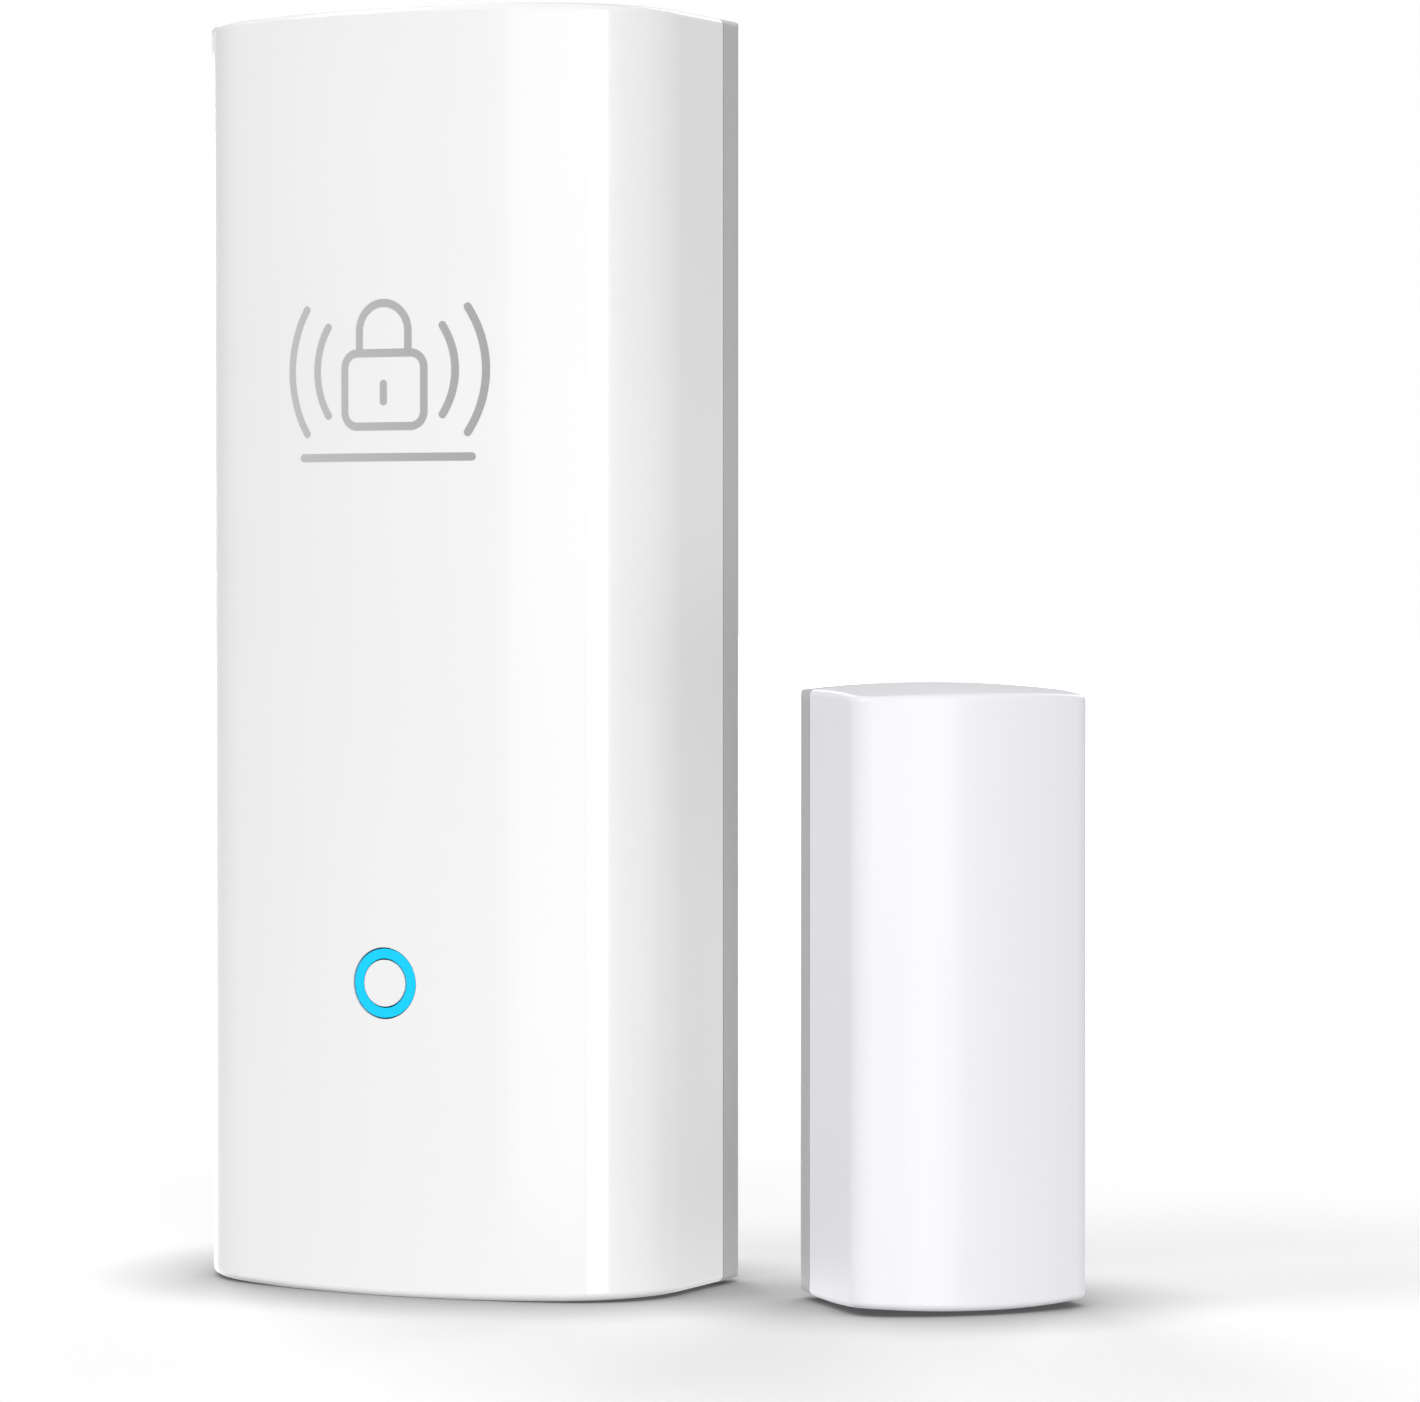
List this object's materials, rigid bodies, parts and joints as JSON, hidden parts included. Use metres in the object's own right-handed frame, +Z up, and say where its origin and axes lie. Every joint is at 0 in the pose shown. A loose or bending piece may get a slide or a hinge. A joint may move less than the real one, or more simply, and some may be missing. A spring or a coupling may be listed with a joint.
{
  "type": "door contact sensor",
  "caption": "Wireless door contact sensor: a tall D-section sensor unit with a lit ring button, and a smaller D-section magnet unit, each clipped to its own base plate.",
  "frame": {"origin": "centre of the face of the sensor unit's adhesive pad, the face that goes on the door frame, at half the unit's height", "axes": "+X across the sensor unit towards the magnet unit, +Y from its front to its back and out of the mounting face, +Z up along its length"},
  "size_m": [0.0629, 0.024, 0.088],
  "materials": {
    "housing_white": "satin gloss moulded ABS",
    "magnet_housing_white": "satin gloss moulded ABS, slightly cooler white",
    "button_white": "satin gloss",
    "ring_light": "clear light guide lit cyan blue",
    "plate_grey": "fine matt moulded grey",
    "inner_plastic": "moulded, dark",
    "foam_tape": "double-sided foam tape",
    "foam_block": "open foam",
    "board_green": "solder mask",
    "chip_black": "moulded epoxy",
    "component_brown": "ceramic and tinned ends",
    "plunger_red": "moulded",
    "led_body": "clear over white",
    "screw_steel": "zinc plated",
    "tin_plate": "tinned",
    "contact_nickel": "nickel plated",
    "magnet_metal": "sintered ferrite",
    "reed_glass": "clear greenish",
    "cell_wrap": "printed shrink wrap, plain",
    "cell_washer": "paper washer"
  },
  "bodies": {
    "frame_plate": {"base_plate": "plate_grey", "adhesive_pad": "foam_tape"},
    "sensor_unit": {"front_housing": "housing_white", "light_ring": "ring_light", "button_switch": "chip_black", "status_leds": "led_body", "circuit_board": "board_green", "board_screws": "screw_steel", "radio_shield": "tin_plate", "antenna_strip": "tin_plate", "controller_chip": "chip_black", "small_components": "component_brown", "reed_glass": "reed_glass", "reed_fixed_blade": "contact_nickel", "reed_leads": "contact_nickel", "battery_cradle": "inner_plastic", "positive_contact": "contact_nickel", "negative_contact": "contact_nickel"},
    "button": {"button_cap": "button_white", "switch_plunger": "plunger_red"},
    "battery": {"battery_can": "cell_wrap", "battery_washer": "cell_washer", "battery_cap": "contact_nickel"},
    "reed_blade": {"reed_moving_blade": "contact_nickel"},
    "door_plate": {"magnet_base_plate": "plate_grey", "magnet_adhesive_pad": "foam_tape"},
    "magnet_unit": {"magnet_housing": "magnet_housing_white", "magnet_carrier": "inner_plastic", "bar_magnet": "magnet_metal", "magnet_foam": "foam_block"}
  },
  "joints": [
    {"name": "unit_pull_off", "type": "slide", "parent": "frame_plate", "child": "sensor_unit", "axis": [0, -1, 0], "range_m": [0, 0.045]},
    {"name": "button_press", "type": "slide", "parent": "sensor_unit", "child": "button", "axis": [0, 1, 0], "range_m": [0, 0.00035], "stiffness_N_per_m": 400, "springref_m": -0.0005},
    {"name": "battery_pull_out", "type": "slide", "parent": "sensor_unit", "child": "battery", "axis": [0, 1, 0], "range_m": [0, 0.0225]},
    {"name": "reed_open", "type": "hinge", "parent": "sensor_unit", "child": "reed_blade", "pos_m": [0.0116, -0.00789, -0.01445], "axis": [1, 0, 0], "range_deg": [0, 3]},
    {"name": "door_travel", "type": "slide", "parent": "frame_plate", "child": "door_plate", "axis": [1, 0, 0], "range_m": [0, 0.06]},
    {"name": "magnet_pull_off", "type": "slide", "parent": "door_plate", "child": "magnet_unit", "axis": [0.7254, -0.6884, 0], "range_m": [0, 0.02]}
  ],
  "couplings": [
    {"joint": "battery_pull_out", "follows": "unit_pull_off", "ratio": 0.5},
    {"joint": "reed_open", "follows": "door_travel", "rad_per_m": 0.87}
  ]
}
